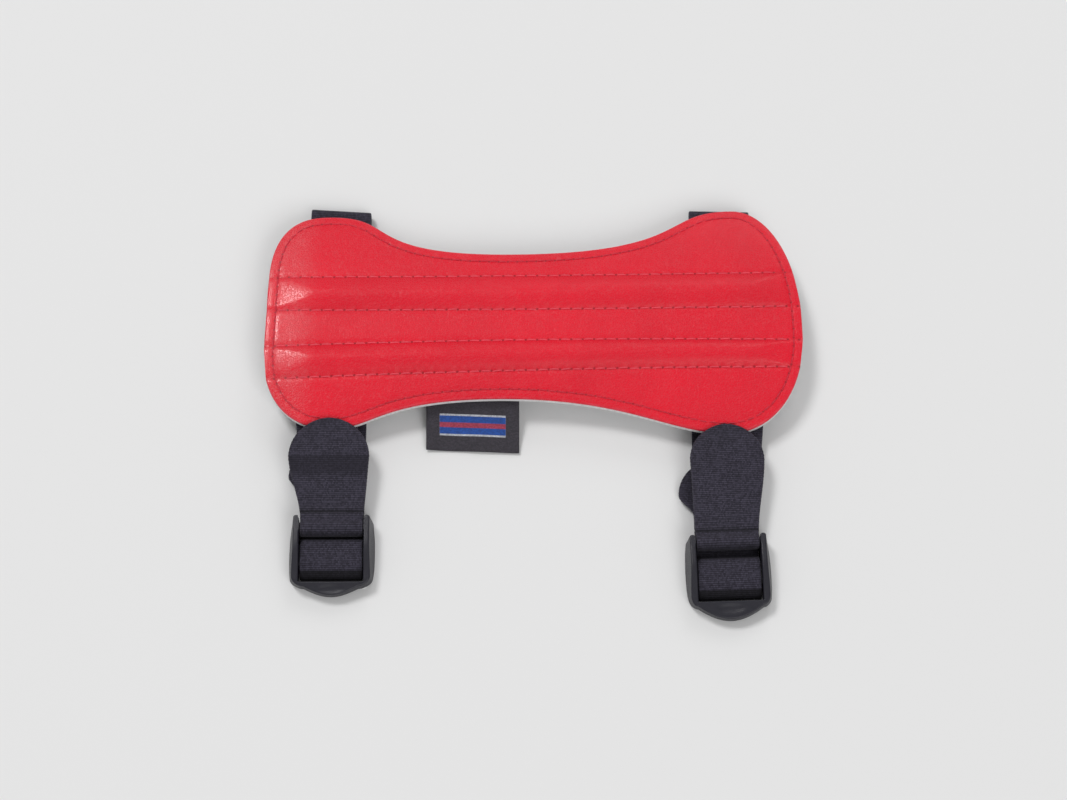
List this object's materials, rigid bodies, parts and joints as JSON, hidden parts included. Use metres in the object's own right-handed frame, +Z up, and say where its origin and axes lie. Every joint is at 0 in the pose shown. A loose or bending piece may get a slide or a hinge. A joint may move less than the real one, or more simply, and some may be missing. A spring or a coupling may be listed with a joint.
{
  "type": "archery arm guard",
  "caption": "Waisted forearm guard panel with raised lengthwise ribs, on elastic straps that close with ladder-lock buckles.",
  "frame": {"origin": "middle of the bounding box's underside, on the surface that the guard lies on", "axes": "+X along the panel, +Y towards its far edge, away from the buckles, +Z up, out of the panel's face"},
  "size_m": [0.1752, 0.1426, 0.0143],
  "materials": {
    "red_leather": "satin embossed grain, stitched with red thread",
    "white_backing": "matt smooth foam-backed cloth",
    "black_elastic": "matt ribbed woven elastic",
    "black_plastic": "moulded, fine satin",
    "black_label": "tightly woven tag, bare"
  },
  "bodies": {
    "root": {"panel_face": "red_leather", "panel_backing": "white_backing", "long_strap_left": "black_elastic", "long_strap_right": "black_elastic", "tab_strap_left": "black_elastic", "tab_strap_right": "black_elastic", "buckle_left": "black_plastic", "buckle_right": "black_plastic", "label": "black_label"}
  },
  "joints": []
}
